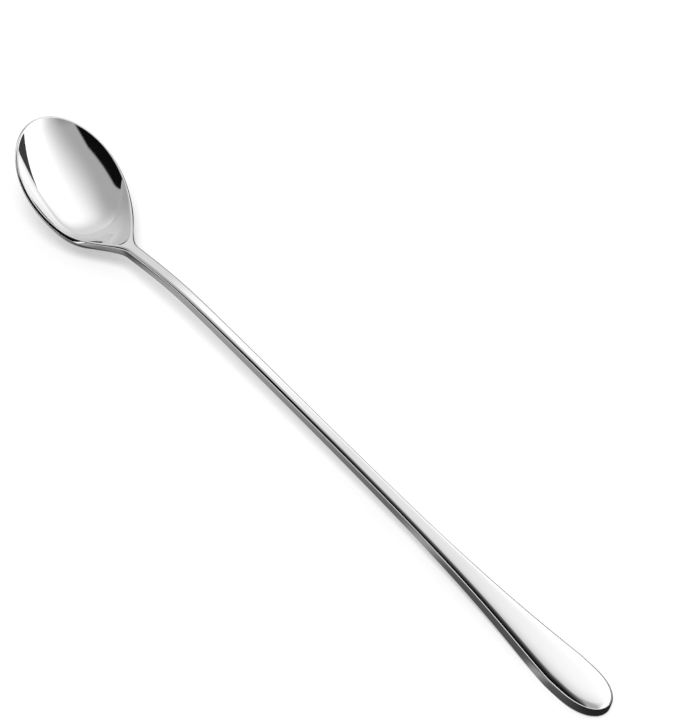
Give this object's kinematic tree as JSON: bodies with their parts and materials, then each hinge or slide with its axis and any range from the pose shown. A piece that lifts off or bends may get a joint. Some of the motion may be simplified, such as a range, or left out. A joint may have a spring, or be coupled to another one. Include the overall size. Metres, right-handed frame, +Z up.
{
  "type": "iced tea spoon",
  "caption": "Long slim spoon with a deep oval bowl and a rounded flat handle end, for stirring and sipping from a tall glass.",
  "frame": {"origin": "on the table, below the middle of the spoon's length and width", "axes": "+X along the spoon to the bowl's tip, +Z up out of the bowl's open side as the spoon lies on a table"},
  "size_m": [0.2148, 0.029, 0.0221],
  "materials": {
    "polished_steel": "mirror polished stainless steel"
  },
  "bodies": {
    "root": {"bowl": "polished_steel", "handle": "polished_steel"}
  },
  "joints": []
}
